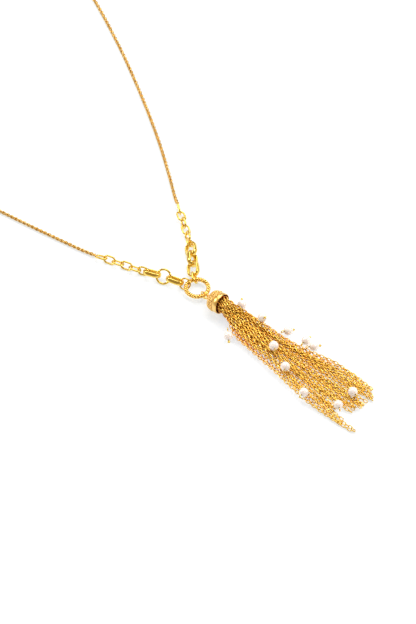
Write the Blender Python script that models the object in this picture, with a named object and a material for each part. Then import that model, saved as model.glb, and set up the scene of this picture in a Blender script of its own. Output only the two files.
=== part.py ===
"""A tassel necklace lying on a flat surface, in metres with +Z up.

A rope chain goes round the neck from a clasp at the back. Small links and wide belcher links join both
its ends to a ring of twisted wire at the front. A bell cap hangs from that ring, and holds a tassel of
fine chains that is strewn with pearls on ball-ended pins.

The pieces are placed from the middle of the twisted ring. At the end the whole necklace is moved, so that
the origin is below its middle, on the surface that it lies on.
"""

from collections import namedtuple
from itertools import accumulate
from math import asin, cos, pi, radians, sin, sqrt

import bmesh
import bpy
from mathutils import Matrix, Vector
from mathutils.bvhtree import BVHTree

MM = 0.001
UP = Vector((0, 0, 1))

# Clearances
GAP = 0.3 * MM
LINK_PLAY = 0.3 * MM
BORE_PLAY = 0.2 * MM

# Rope chain round the neck, and the distance over which it comes down from the links to the surface
ROPE_DIAMETER = 2.1 * MM
ROPE_RISE = 9 * MM
ROPE_STATIONS = 38

# The route of the chain, in millimetres from the twisted ring's middle: out along the left side,
# round the back of the neck, and home along the right side
CHAIN_ROUTE = [
    (0, 0), (-13, 5.5), (-32, 13.4), (-51, 22.3), (-75, 36.5), (-98.5, 51.3), (-130, 71.5), (-164, 96),
    (-194, 128), (-213, 165), (-219, 204), (-208, 241), (-181, 266), (-145, 276), (-108, 267),
    (-79, 242), (-58, 207), (-41.5, 168), (-28.5, 130), (-19.8, 100), (-14.3, 76.4), (-10.3, 57),
    (-6.1, 40.5), (-3.3, 27.5), (-2.4, 18), (-1.5, 8), (0, 0),
]

# Links: length and width over all, thickness of the metal seen from the side, and width of its band
Link = namedtuple("Link", "length width thick band")
SMALL_LINK = Link(length=7.0 * MM, width=4.8 * MM, thick=1.0 * MM, band=1.0 * MM)
END_LINK = Link(length=6.4 * MM, width=5.0 * MM, thick=1.0 * MM, band=1.0 * MM)
WIDE_LINK = Link(length=9.6 * MM, width=6.8 * MM, thick=1.1 * MM, band=2.4 * MM)
ROUND_LINK = Link(length=8.4 * MM, width=8.4 * MM, thick=1.15 * MM, band=1.15 * MM)
LEFT_JUMP_RING = Link(length=6.4 * MM, width=6.4 * MM, thick=0.85 * MM, band=0.85 * MM)
RIGHT_JUMP_LINK = Link(length=7.2 * MM, width=5.6 * MM, thick=1.0 * MM, band=1.0 * MM)
BAIL_LINK = Link(length=7.2 * MM, width=4.4 * MM, thick=0.8 * MM, band=0.8 * MM)
CLASP_LINK = Link(length=5.1 * MM, width=3.7 * MM, thick=0.75 * MM, band=0.75 * MM)
CLASP_RING = Link(length=5.8 * MM, width=5.8 * MM, thick=0.8 * MM, band=0.8 * MM)
SETTLING_ROUNDS = 8
LINK_SIDES = 14
SMALL_WIRE_SIDES = 5
BAND_FLAT = 0.8

# Leans of the small links of both sides, in degrees, from the rope chain inwards
LEFT_SMALL_LEANS = (30, -60, 27, -62, 25)
RIGHT_SMALL_LEANS = (85, 12, -75, 16, -65)

# Ring of twisted wire
TWISTED_RING = Link(length=13.7 * MM, width=13.7 * MM, thick=2.3 * MM, band=2.3 * MM)
RING_HEIGHT = 2.5 * MM
RING_STRANDS = 3
RING_TURNS = 9
RING_GROOVE = 0.8
STATIONS_PER_BUMP = 3

# Clasp: a plain closed piece, with its flat underside on the surface
CLASP_BODY_LENGTH = 5.0 * MM
CLASP_BODY_WIDTH = 3.8 * MM
CLASP_BODY_HEIGHT = 3.4 * MM
CLASP_BEVEL = 0.6 * MM
CLASP_CLAW = Link(length=6.6 * MM, width=4.8 * MM, thick=1.1 * MM, band=1.1 * MM)
CLASP_EYE = Link(length=4.0 * MM, width=4.0 * MM, thick=0.9 * MM, band=0.9 * MM)
CLASP_SINK = 0.5 * MM
CLASP_CLAW_LEAN = 30
CLASP_RING_LEAN = -45
CLASP_LINK_LEAN = 80

# Bell cap, with its flange as its widest part. The tables go by shares of its length and radius.
CAP_RADIUS = 5.8 * MM
CAP_LENGTH = 8.3 * MM
CAP_HEADING = -38.2
CAP_RISE = 7.0
CAP_SIDES = 24
CAP_EYE = Link(length=3.1 * MM, width=3.1 * MM, thick=0.75 * MM, band=0.75 * MM)
CAP_EYE_SINK = 0.35 * MM
BAIL_HEADING = -56.0
Turned = namedtuple("Turned", "back radius grain")
CAP_OUTSIDE = [
    Turned(back=1.00, radius=0.10, grain=0.00),
    Turned(back=0.97, radius=0.30, grain=0.00),
    Turned(back=0.90, radius=0.53, grain=0.02),
    Turned(back=0.81, radius=0.71, grain=-0.03),
    Turned(back=0.71, radius=0.82, grain=0.03),
    Turned(back=0.61, radius=0.88, grain=-0.03),
    Turned(back=0.55, radius=0.85, grain=0.00),
    Turned(back=0.52, radius=0.95, grain=0.00),
    Turned(back=0.48, radius=1.00, grain=0.00),
    Turned(back=0.40, radius=1.00, grain=0.00),
    Turned(back=0.36, radius=0.95, grain=0.00),
    Turned(back=0.25, radius=0.92, grain=0.00),
    Turned(back=0.10, radius=0.95, grain=0.00),
    Turned(back=0.03, radius=0.96, grain=0.00),
]
CAP_INSIDE = [
    Turned(back=0.00, radius=0.93, grain=0.00),
    Turned(back=0.00, radius=0.87, grain=0.00),
    Turned(back=0.05, radius=0.84, grain=0.00),
    Turned(back=0.55, radius=0.79, grain=0.00),
    Turned(back=0.76, radius=0.62, grain=0.00),
    Turned(back=0.88, radius=0.25, grain=0.00),
]

# Tassel: locks of fine chain, fused to a head in the cap. A lock's place in the mouth of the cap goes by
# shares of the room there. Further on it keeps its share of the way across, from the low edge to the high
# edge of the spread, which is given at shares of the tassel's length and half width.
TASSEL_HEADING = -43.5
TASSEL_LENGTH = 95 * MM
TASSEL_HALF_WIDTH = 14 * MM
LOCK_WIDTH = 4.0 * MM
LOCK_THICKNESS = 3.5 * MM
LOCK_LIFT = 2.5 * MM
LOCK_SIDES = 8
GATHER_SHARE = 0.16
DROP_SHARE = 0.22
LIFT_SHARE = 0.8
HEAD_DEPTH_SHARE = 0.5
HEAD_RECESS_SHARE = 0.12
Spread = namedtuple("Spread", "along low high")
TASSEL_SPREAD = [
    Spread(along=0.00, low=-0.20, high=0.20),
    Spread(along=0.10, low=-0.31, high=0.36),
    Spread(along=0.20, low=-0.50, high=0.44),
    Spread(along=0.38, low=-0.59, high=0.47),
    Spread(along=0.52, low=-0.67, high=0.60),
    Spread(along=0.66, low=-0.85, high=0.80),
    Spread(along=0.78, low=-0.92, high=0.96),
    Spread(along=0.92, low=-0.90, high=1.04),
    Spread(along=1.06, low=-0.84, high=1.05),
]
Lock = namedtuple("Lock", "mouth_side mouth_up reach across size upper")
LOCKS = [
    Lock(mouth_side=0.95, mouth_up=-0.20, reach=0.93, across=0.97, size=0.95, upper=False),
    Lock(mouth_side=0.75, mouth_up=0.50, reach=0.97, across=0.85, size=1.00, upper=True),
    Lock(mouth_side=0.35, mouth_up=-0.80, reach=0.985, across=0.73, size=0.95, upper=False),
    Lock(mouth_side=0.20, mouth_up=0.95, reach=0.965, across=0.565, size=1.00, upper=True),
    Lock(mouth_side=0.05, mouth_up=0.00, reach=1.00, across=0.45, size=1.00, upper=False),
    Lock(mouth_side=-0.20, mouth_up=0.90, reach=0.955, across=0.34, size=0.95, upper=True),
    Lock(mouth_side=-0.35, mouth_up=-0.80, reach=0.88, across=0.20, size=0.90, upper=False),
    Lock(mouth_side=-0.75, mouth_up=0.50, reach=0.985, across=0.09, size=0.60, upper=True),
    Lock(mouth_side=-0.95, mouth_up=-0.20, reach=1.06, across=0.00, size=0.80, upper=False),
    Lock(mouth_side=0.00, mouth_up=0.20, reach=0.42, across=0.50, size=1.35, upper=True),
]
Swell = namedtuple("Swell", "along size")
LOCK_SWELLS = [
    Swell(along=0.00, size=0.80),
    Swell(along=0.04, size=0.84),
    Swell(along=0.10, size=0.92),
    Swell(along=0.18, size=1.00),
    Swell(along=0.30, size=1.05),
    Swell(along=0.45, size=1.05),
    Swell(along=0.60, size=1.00),
    Swell(along=0.78, size=0.90),
    Swell(along=0.93, size=0.78),
    Swell(along=1.00, size=0.45),
]

# Pearls and their pins. A pearl's place goes by shares of the tassel's length and half width. The ball end
# of its pin points along the heading and tips up by the rise, or as near to that as its ends are clear.
PEARL_DIAMETER = 4.9 * MM
PEARL_SIDES = 12
PEARL_BANDS = 6
PIN_WIRE = 0.5 * MM
PIN_BALL = 1.4 * MM
PIN_LOOP = 2.0 * MM
PIN_SIDES = 5
PIN_LOOP_STATIONS = 9
PIN_LOOP_OPENING = 50
PIN_STEEPEST = 60
Pearl = namedtuple("Pearl", "along side heading rise")
PEARLS = [
    Pearl(along=0.150, side=-0.765, heading=-85, rise=-10),
    Pearl(along=0.056, side=0.630, heading=92, rise=-15),
    Pearl(along=0.225, side=0.474, heading=-63, rise=44),
    Pearl(along=0.354, side=0.880, heading=32, rise=-22),
    Pearl(along=0.468, side=0.990, heading=55, rise=0),
    Pearl(along=0.524, side=0.984, heading=20, rise=5),
    Pearl(along=0.398, side=-0.199, heading=100, rise=-12),
    Pearl(along=0.529, side=-0.552, heading=80, rise=-12),
    Pearl(along=0.715, side=-0.946, heading=60, rise=-10),
    Pearl(along=0.893, side=-0.461, heading=101, rise=-12),
    Pearl(along=0.896, side=0.271, heading=120, rise=-10),
]

# Finishes: colour, roughness and whether it is metal
Finish = namedtuple("Finish", "colour roughness metallic")
FINISHES = {
    "polished_gold": Finish(colour=(0.95, 0.66, 0.17), roughness=0.18, metallic=1.0),
    "rope_gold": Finish(colour=(0.72, 0.46, 0.13), roughness=0.3, metallic=1.0),
    "tassel_gold": Finish(colour=(0.85, 0.53, 0.11), roughness=0.25, metallic=1.0),
    "pearl": Finish(colour=(0.93, 0.87, 0.86), roughness=0.15, metallic=0.0),
}


def clear_scene():
    """Empties the scene before the necklace is made."""
    for thing in list(bpy.data.objects):
        bpy.data.objects.remove(thing, do_unlink=True)


def finish(name):
    """The material of that name, made the first time that it is asked for."""
    if name in bpy.data.materials:
        return bpy.data.materials[name]
    look = FINISHES[name]
    material = bpy.data.materials.new(name)
    material.use_nodes = True
    shader = material.node_tree.nodes["Principled BSDF"]
    shader.inputs["Base Color"].default_value = (*look.colour, 1)
    shader.inputs["Roughness"].default_value = look.roughness
    shader.inputs["Metallic"].default_value = look.metallic
    return material


def add_piece(name, shape, look, placement=Matrix()):
    """Adds a bmesh to the scene as a named piece, shaded smooth with its hard edges kept."""
    mesh = bpy.data.meshes.new(name)
    shape.to_mesh(mesh)
    shape.free()
    mesh.shade_smooth()
    mesh.set_sharp_from_angle(angle=radians(40))
    mesh.materials.append(finish(look))
    piece = bpy.data.objects.new(name, mesh)
    bpy.context.scene.collection.objects.link(piece)
    piece.matrix_world = placement
    return piece


def join_to(piece, *guides):
    """Fuses hidden guide shapes to a piece with Boolean unions."""
    for guide in guides:
        guide.hide_render = True
        guide.display_type = "WIRE"
        union = piece.modifiers.new(guide.name, "BOOLEAN")
        union.operation = "UNION"
        union.object = guide


def bodies_of(shape):
    """The faces of a shape in groups, one for each surface that doesn't touch the others."""
    groups = []
    waiting = set(shape.faces)
    while waiting:
        group = [waiting.pop()]
        for face in group:
            beside = {other for edge in face.edges for other in edge.link_faces} & waiting
            waiting -= beside
            group += sorted(beside, key=lambda other: other.index)
        groups.append(group)
    return groups


def volume_within(faces):
    """The volume inside some faces, less than zero where they face inwards."""
    volume = 0
    for face in faces:
        corners = [vertex.co for vertex in face.verts]
        for one, other in zip(corners[1:], corners[2:]):
            volume += corners[0].dot(one.cross(other)) / 6
    return volume


def fill_hollows(piece):
    """Makes a piece's fused shape its own mesh, and fills the hollows sealed inside it."""
    graph = bpy.context.evaluated_depsgraph_get()
    shape = bmesh.new()
    shape.from_mesh(piece.evaluated_get(graph).to_mesh())
    for group in bodies_of(shape):
        if volume_within(group) < 0:
            bmesh.ops.delete(shape, geom=group, context="FACES")
    shape.to_mesh(piece.data)
    shape.free()
    piece.modifiers.clear()


def skin(rings, closed=False):
    """A closed shape over a row of rings of as many points each, with flat ends or closed on itself."""
    shape = bmesh.new()
    rows = [[shape.verts.new(point) for point in ring] for ring in rings]
    following = rows[1:] + rows[:1] if closed else rows[1:]
    for row, after in zip(rows, following):
        for here in range(len(row)):
            beside = (here + 1) % len(row)
            shape.faces.new((row[here], row[beside], after[beside], after[here]))
    if not closed:
        shape.faces.new(rows[0])
        shape.faces.new(rows[-1])
    bmesh.ops.recalc_face_normals(shape, faces=shape.faces)
    return shape


def turned(profile, sides):
    """Rings about the X axis through a profile of (x, radius, grain); grain swings every other point."""
    rings = []
    for x, radius, grain in profile:
        ring = []
        for side in range(sides):
            reach = radius + (grain if side % 2 else -grain)
            turn = 2 * pi * side / sides
            ring.append(Vector((x, reach * cos(turn), reach * sin(turn))))
        rings.append(ring)
    return rings


def heading(degrees):
    """The level direction at that angle from +X, seen from above."""
    return Vector((cos(radians(degrees)), sin(radians(degrees)), 0))


def run(start, end, roll=0):
    """The placement of a piece whose X axis runs from start to end, rolled about it, centred between."""
    along = (end - start).normalized()
    across = UP.cross(along).normalized()
    frame = Matrix((along, across, along.cross(across))).transposed().to_4x4()
    frame.translation = (start + end) / 2
    return frame @ Matrix.Rotation(radians(roll), 4, "X")


class Route:
    """A smooth level curve through chosen points, measured along its length."""

    STEPS = 24

    def __init__(self, chosen):
        chosen = [Vector((x * MM, y * MM, 0)) for x, y in chosen]
        ends = [2 * chosen[0] - chosen[1]] + chosen + [2 * chosen[-1] - chosen[-2]]
        self.points = [self.between(*ends[i:i + 4], step / self.STEPS)
                       for i in range(len(chosen) - 1) for step in range(self.STEPS)]
        self.points.append(chosen[-1])
        spans = [(after - here).length for here, after in zip(self.points, self.points[1:])]
        self.distances = [0, *accumulate(spans)]
        self.length = self.distances[-1]

    @staticmethod
    def between(before, here, after, beyond, share):
        """The point of a smooth curve at a share of the way from here to after."""
        return 0.5 * (2 * here + (after - before) * share
                      + (2 * before - 5 * here + 4 * after - beyond) * share ** 2
                      + (3 * here - before - 3 * after + beyond) * share ** 3)

    def at(self, distance):
        """The point at that distance along the route."""
        last = len(self.distances) - 2
        index = min(sum(1 for passed in self.distances[1:] if passed < distance), last)
        share = (distance - self.distances[index]) / (self.distances[index + 1] - self.distances[index])
        return self.points[index].lerp(self.points[index + 1], share)


def wire_section(link):
    """Points round a link's metal, as (outwards, sideways): a round wire or a band with a domed outside."""
    if link.band == link.thick:
        turns = [2 * pi * side / SMALL_WIRE_SIDES for side in range(SMALL_WIRE_SIDES)]
        return [(link.thick / 2 * cos(turn), link.thick / 2 * sin(turn)) for turn in turns]
    deep, wide = link.thick / 2, link.band / 2
    outside = [(0.1 * deep, wide), (deep, wide / 2), (deep, -wide / 2), (0.1 * deep, -wide)]
    return [(-deep, BAND_FLAT * wide)] + outside + [(-deep, -BAND_FLAT * wide)]


def link_shape(link, sides=LINK_SIDES):
    """A link: its metal carried round an oval with straight flanks and round ends, flat in X and Y."""
    end_radius = (link.width - link.thick) / 2
    flank = (link.length - link.width) / 2
    rings = []
    steps = sides // 2
    for middle, facing in ((flank, 0), (-flank, pi)):
        for step in range(steps):
            turn = facing - pi / 2 + pi * (step + 0.5 * (flank == 0)) / (steps - (flank > 0))
            outwards = Vector((cos(turn), sin(turn), 0))
            centre = Vector((middle, 0, 0)) + outwards * end_radius
            rings.append([centre + outwards * out + UP * aside for out, aside in wire_section(link)])
    return skin(rings, closed=True)


def play_between(first, second):
    """The play of two hooked links: a wide band stays clear of the bottom of the other's round end."""
    play = LINK_PLAY
    for holder, held in ((first, second), (second, first)):
        bend = holder.width / 2 - holder.thick
        half = min(held.band / 2, bend) if held.band > held.thick else 0
        play += bend - sqrt(bend ** 2 - half ** 2)
    return play


def resting_height(link, roll):
    """The height of a rolled link's middle when its lower side touches the surface."""
    lean, level = abs(sin(radians(roll))), abs(cos(radians(roll)))
    below = max(out * lean + aside * level for out, aside in wire_section(link))
    return (link.width - link.thick) / 2 * lean + below


Row = namedtuple("Row", "name link roll")


def hook_distances(start, sense, holder, row):
    """Where each link of a row hooks the one before it, along the route, and where the row ends."""
    links = [holder] + [entry.link for entry in row] + [row[-1].link]
    distances = [start]
    for before, link, after in zip(links, links[1:], links[2:]):
        play = (play_between(before, link) + play_between(link, after)) / 2
        distances.append(distances[-1] + sense * (link.length - 2 * link.thick - play))
    return distances


def hook_heights(first, rests):
    """Heights of those hooks, so that every link lies on the surface or is lifted by its neighbours. The
    last is no lower than the middle of the rope chain that meets the row."""
    between = [(one + other) / 2 for one, other in zip(rests, rests[1:])]
    heights = [first] + between + [max(rests[-1], ROPE_DIAMETER / 2)]
    for _ in range(len(rests) * 4):
        for index, rest in enumerate(rests):
            lack = max(rest - (heights[index] + heights[index + 1]) / 2, 0)
            if index > 0:
                heights[index] += lack
            heights[index + 1] += lack if index > 0 else 2 * lack
    return heights


def link_places(route, distances, heights, holder, row):
    """The placement of each link of a row between its two hooks."""
    hooks = [route.at(distance) + UP * height for distance, height in zip(distances, heights)]
    links = [holder] + [entry.link for entry in row] + [row[-1].link]
    places = []
    for index, entry in enumerate(row):
        before = play_between(links[index], entry.link) / 2 + entry.link.thick
        after = play_between(entry.link, links[index + 2]) / 2 + entry.link.thick
        along = (hooks[index + 1] - hooks[index]).normalized()
        places.append(run(hooks[index] - along * before, hooks[index + 1] + along * after, entry.roll))
    return places


def add_link_row(route, start, sense, holder, holder_height, row):
    """Adds a row of hooked links along the route. Returns where a rope chain that meets it begins."""
    distances = hook_distances(start, sense, holder, row)
    shapes = [link_shape(entry.link) for entry in row]
    rests = [resting_height(entry.link, entry.roll) for entry in row]
    for _ in range(SETTLING_ROUNDS):
        heights = hook_heights(holder_height, rests)
        places = link_places(route, distances, heights, holder, row)
        dips = [min((place @ vertex.co).z for vertex in shape.verts) for place, shape in zip(places, shapes)]
        rests = [rest - min(dip, 0) for rest, dip in zip(rests, dips)]
    for entry, shape, place in zip(row, shapes, places):
        add_piece(entry.name, shape, "polished_gold", place)
    last = row[-1].link
    return distances[-1] + sense * (play_between(last, last) / 2 + last.thick + GAP), heights[-1]


def small_links(side, leans):
    """Rows of small links with those leans, from the end link outwards."""
    return [Row(f"{side}_small_link_{number}", SMALL_LINK, leans[number - 1])
            for number in range(len(leans), 0, -1)]


def add_rope(name, route, near, near_height, far, far_height):
    """Adds a half of the rope chain as a tube, raised at both ends to the pieces that it meets."""
    curve = bpy.data.curves.new(name, "CURVE")
    curve.dimensions = "3D"
    curve.bevel_depth = ROPE_DIAMETER / 2
    curve.bevel_resolution = 2
    curve.use_fill_caps = True
    curve.materials.append(finish("rope_gold"))
    spline = curve.splines.new("POLY")
    spline.points.add(ROPE_STATIONS - 1)
    for index, point in enumerate(spline.points):
        share = index / (ROPE_STATIONS - 1)
        distance = near + (far - near) * share
        height = ROPE_DIAMETER / 2
        for end, end_height in ((near, near_height), (far, far_height)):
            nearness = max(1 - abs(distance - end) / ROPE_RISE, 0)
            height += (end_height - ROPE_DIAMETER / 2) * nearness ** 2
        point.co = (*(route.at(distance) + UP * height), 1)
    piece = bpy.data.objects.new(name, curve)
    bpy.context.scene.collection.objects.link(piece)


def add_twisted_ring():
    """Adds the ring of twisted wire: a lobed section that turns as it goes round."""
    radius = (TWISTED_RING.length - TWISTED_RING.thick) / 2
    stations = RING_STRANDS * RING_TURNS * STATIONS_PER_BUMP
    rings = []
    for station in range(stations):
        share = station / stations
        outwards = heading(360 * share)
        ring = []
        for side in range(2 * RING_STRANDS):
            turn = 2 * pi * (side / (2 * RING_STRANDS) + RING_TURNS * share)
            reach = TWISTED_RING.thick / 2 * (RING_GROOVE if side % 2 else 1)
            ring.append(outwards * (radius + reach * cos(turn)) + UP * (RING_HEIGHT + reach * sin(turn)))
        rings.append(ring)
    add_piece("twisted_ring", skin(rings, closed=True), "polished_gold")


def ring_hook():
    """How far from the middle of the twisted ring a link hooks it."""
    return TWISTED_RING.length / 2 - TWISTED_RING.thick


def add_clasp(route):
    """Adds the plain clasp at the middle of the route. Returns where its eye and its claw are hooked."""
    eye_middle = -(CLASP_BODY_LENGTH + CLASP_EYE.length) / 2 + CLASP_SINK
    claw_middle = (CLASP_BODY_LENGTH + CLASP_CLAW.length) / 2 - CLASP_SINK
    half = route.length / 2
    level = UP * CLASP_BODY_HEIGHT / 2
    place = run(route.at(half - CLASP_BODY_LENGTH) + level, route.at(half + CLASP_BODY_LENGTH) + level)
    body = bmesh.new()
    bmesh.ops.create_cube(body, size=1)
    bmesh.ops.scale(body, verts=body.verts, vec=(CLASP_BODY_LENGTH, CLASP_BODY_WIDTH, CLASP_BODY_HEIGHT))
    bmesh.ops.bevel(body, geom=body.edges[:], offset=CLASP_BEVEL, segments=2, profile=0.5, affect="EDGES")
    clasp = add_piece("clasp", body, "polished_gold", place)
    claw = add_piece("clasp_claw_guide", link_shape(CLASP_CLAW), "polished_gold",
                     place @ Matrix.Translation((claw_middle, 0, 0))
                     @ Matrix.Rotation(radians(CLASP_CLAW_LEAN), 4, "X"))
    eye = add_piece("clasp_eye_guide", link_shape(CLASP_EYE), "polished_gold",
                    place @ Matrix.Translation((eye_middle, 0, 0)))
    join_to(clasp, claw, eye)
    eye_end = eye_middle - CLASP_EYE.length / 2 + CLASP_EYE.thick
    claw_end = claw_middle + CLASP_CLAW.length / 2 - CLASP_CLAW.thick
    return half + eye_end, half + claw_end


def add_neck_chain():
    """Adds the links of both sides, the two halves of the rope chain and the clasp between them."""
    route = Route(CHAIN_ROUTE)
    left = [
        Row("left_jump_ring", LEFT_JUMP_RING, -48),
        Row("left_wide_link_2", WIDE_LINK, 36),
        Row("left_round_link", ROUND_LINK, -42),
        Row("left_wide_link_1", WIDE_LINK, 35),
        Row("left_end_link", END_LINK, -62),
    ] + small_links("left", LEFT_SMALL_LEANS)
    right = [
        Row("right_jump_link", RIGHT_JUMP_LINK, 62),
        Row("right_wide_link_1", WIDE_LINK, -38),
        Row("right_wide_link_2", WIDE_LINK, 50),
        Row("right_wide_link_3", WIDE_LINK, -45),
        Row("right_end_link", END_LINK, 47),
    ] + small_links("right", RIGHT_SMALL_LEANS)
    eye, claw = add_clasp(route)
    level = CLASP_BODY_HEIGHT / 2
    hooked = {side: ring_hook() - play_between(TWISTED_RING, row[0].link) / 2
              for side, row in (("left", left), ("right", right))}
    near_left = add_link_row(route, hooked["left"], 1, TWISTED_RING, RING_HEIGHT, left)
    near_right = add_link_row(route, route.length - hooked["right"], -1, TWISTED_RING, RING_HEIGHT, right)
    eye += play_between(CLASP_EYE, CLASP_LINK) / 2
    claw -= play_between(CLASP_CLAW, CLASP_RING) / 2
    far_left = add_link_row(route, eye, -1, CLASP_EYE, level, [Row("clasp_link", CLASP_LINK, CLASP_LINK_LEAN)])
    far_right = add_link_row(route, claw, 1, CLASP_CLAW, level, [Row("clasp_ring", CLASP_RING, CLASP_RING_LEAN)])
    add_rope("rope_chain_left", route, *near_left, *far_left)
    add_rope("rope_chain_right", route, *near_right, *far_right)


def cap_axis():
    """The way that the cap's mouth faces."""
    return (heading(CAP_HEADING) * cos(radians(CAP_RISE)) + UP * sin(radians(CAP_RISE))).normalized()


def cap_profile(table):
    """A table of the cap's turning as (x, radius, grain), with the mouth at x = 0."""
    return [(-row.back * CAP_LENGTH, row.radius * CAP_RADIUS, row.grain * CAP_RADIUS) for row in table]


def add_cap():
    """Adds the bell cap with its eye, and the link that hangs it from the twisted ring."""
    eye_radius = (CAP_EYE.length - CAP_EYE.thick) / 2
    eye_to_mouth = CAP_LENGTH + CAP_EYE.length / 2 - CAP_EYE_SINK
    mouth_height = max(row.radius * CAP_RADIUS * cos(radians(CAP_RISE))
                       + row.back * CAP_LENGTH * sin(radians(CAP_RISE)) for row in CAP_OUTSIDE)
    eye_height = mouth_height - eye_to_mouth * sin(radians(CAP_RISE))
    ring_play = play_between(TWISTED_RING, BAIL_LINK)
    eye_play = play_between(BAIL_LINK, CAP_EYE)
    wire = heading(BAIL_HEADING) * (TWISTED_RING.length - TWISTED_RING.thick) / 2 + UP * RING_HEIGHT
    wire_to_hook = (TWISTED_RING.thick + ring_play) / 2
    reach = BAIL_LINK.length - 2 * BAIL_LINK.thick - (ring_play + eye_play) / 2 - wire_to_hook
    climb = eye_height - RING_HEIGHT
    far = wire + heading(BAIL_HEADING) * sqrt(reach ** 2 - climb ** 2) + UP * climb
    along = (far - wire).normalized()
    bail_start = wire - along * (wire_to_hook + ring_play / 2 + BAIL_LINK.thick)
    bail_end = far + along * (eye_play / 2 + BAIL_LINK.thick)
    add_piece("bail_link", link_shape(BAIL_LINK), "polished_gold", run(bail_start, bail_end, 90))
    eye_middle = far + heading(BAIL_HEADING) * (eye_radius - eye_play / 2 - CAP_EYE.thick / 2)
    mouth = eye_middle + cap_axis() * eye_to_mouth
    place = run(mouth - cap_axis(), mouth + cap_axis())
    profile = cap_profile(CAP_OUTSIDE) + cap_profile(CAP_INSIDE)
    cap = add_piece("tassel_cap", skin(turned(profile, CAP_SIDES)), "polished_gold", place)
    eye = add_piece("cap_eye_guide", link_shape(CAP_EYE), "polished_gold",
                    place @ Matrix.Translation((-eye_to_mouth, 0, 0)))
    join_to(cap, eye)
    return mouth


def bundle_radius():
    """The radius of the bundle of strands where it fills the cap."""
    return min(row.radius for row in CAP_INSIDE[:4]) * CAP_RADIUS - GAP


def smooth_step(share):
    """A share eased at both ends."""
    share = min(max(share, 0), 1)
    return share * share * (3 - 2 * share)


def spread_side(along, across):
    """How far to the side of the tassel's axis something is at those shares along and across it."""
    for here, beyond in zip(TASSEL_SPREAD, TASSEL_SPREAD[1:]):
        if along <= beyond.along:
            break
    share = min((along - here.along) / (beyond.along - here.along), 1)
    low = here.low + (beyond.low - here.low) * share
    high = here.high + (beyond.high - here.high) * share
    return (low + (high - low) * across) * TASSEL_HALF_WIDTH


def lock_middle(lock, mouth, along, thickness):
    """The middle of a lock at a share of its length from the cap's mouth, with that thickness there."""
    room = bundle_radius() - LOCK_WIDTH * LOCK_SWELLS[0].size / 2
    side_start = lock.mouth_side * room
    side_spread = spread_side(along * lock.reach, lock.across)
    side = side_start + (side_spread - side_start) * smooth_step(along / GATHER_SHARE)
    lift = LOCK_LIFT * (1 - smooth_step(along / LIFT_SHARE)) if lock.upper else 0
    rest = thickness / 2 + lift
    start = mouth.z + lock.mouth_up * room
    height = rest + (start - rest) * (1 - smooth_step(along / DROP_SHARE))
    forwards = heading(TASSEL_HEADING)
    sideways = UP.cross(forwards)
    level = Vector((mouth.x, mouth.y, 0))
    return level + forwards * lock.reach * TASSEL_LENGTH * along + sideways * side + UP * height


def lock_rings(lock, mouth):
    """Rings of a lock, from inside the cap to its tip."""
    sizes = [swell.size * lock.size ** swell.along for swell in LOCK_SWELLS]
    middles = [lock_middle(lock, mouth, swell.along, size * LOCK_THICKNESS)
               for swell, size in zip(LOCK_SWELLS, sizes)]
    inside = middles[0] - cap_axis() * CAP_LENGTH * HEAD_RECESS_SHARE * 2
    middles.insert(0, inside)
    sizes.insert(0, sizes[0])
    rings = []
    for index, (middle, size) in enumerate(zip(middles, sizes)):
        ahead = middles[min(index + 1, len(middles) - 1)] - middles[max(index - 1, 0)]
        across = UP.cross(ahead).normalized()
        above = ahead.cross(across).normalized()
        ring = []
        for side in range(LOCK_SIDES):
            turn = 2 * pi * (side + 0.5) / LOCK_SIDES
            wide = across * cos(turn) * LOCK_WIDTH / 2 * size
            ring.append(middle + wide + above * sin(turn) * LOCK_THICKNESS / 2 * size)
        rings.append(ring)
    return rings


def add_tassel(mouth):
    """Adds the tassel: a head that fills the cap, with the locks fused to it."""
    profile = [(-HEAD_DEPTH_SHARE * CAP_LENGTH, bundle_radius(), 0),
               (-HEAD_RECESS_SHARE * CAP_LENGTH, bundle_radius(), 0)]
    place = run(mouth - cap_axis(), mouth + cap_axis())
    head = skin([[place @ point for point in ring] for ring in turned(profile, CAP_SIDES)])
    tassel = add_piece("tassel", head, "tassel_gold")
    guides = [add_piece(f"lock_guide_{number}", skin(lock_rings(lock, mouth)), "tassel_gold")
              for number, lock in enumerate(LOCKS, 1)]
    join_to(tassel, *guides)
    fill_hollows(tassel)
    return tassel


def surface_of(piece):
    """The surface of a finished piece, to measure distances to."""
    return BVHTree.FromObject(piece, bpy.context.evaluated_depsgraph_get())


def seat_height(level, radius, surface, placed):
    """The lowest height at which a ball clears the surface below, the tassel and the balls placed."""
    lowest = radius
    for other in placed:
        apart = (Vector((other.x, other.y, 0)) - level).length
        reach = 2 * radius + GAP
        if apart < reach:
            lowest = max(lowest, other.z + sqrt(reach ** 2 - apart ** 2))
    height = lowest + LOCK_THICKNESS * 4
    step = GAP / 6
    while height > lowest:
        distance = surface.find_nearest(level + UP * (height - step))[3]
        if distance < radius + GAP:
            break
        height -= step
    return max(height, lowest)


def pin_rise(middle, away, wanted, surface):
    """The rise of a pin's ball end, nearest to the one wanted, at which both its ends are clear."""
    to_loop, to_ball = pin_reach()
    for turn in range(PIN_STEEPEST):
        for rise in (wanted + turn, wanted - turn):
            axis = away * cos(radians(rise)) + UP * sin(radians(rise))
            ends = ((middle - axis * to_loop, PIN_LOOP / 2), (middle + axis * to_ball, PIN_BALL / 2))
            if all(spot.z > size and surface.find_nearest(spot)[3] > size + GAP for spot, size in ends):
                return rise
    return wanted


def pearl_shape():
    """A round pearl with a bore along X."""
    radius = PEARL_DIAMETER / 2
    bore = PIN_WIRE / 2 + BORE_PLAY
    edge = asin(bore / radius)
    turns = [edge + (pi - 2 * edge) * step / PEARL_BANDS for step in range(PEARL_BANDS + 1)]
    profile = [(-radius * cos(turn), radius * sin(turn), 0) for turn in turns]
    return skin(turned(profile, PEARL_SIDES), closed=True)


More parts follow.
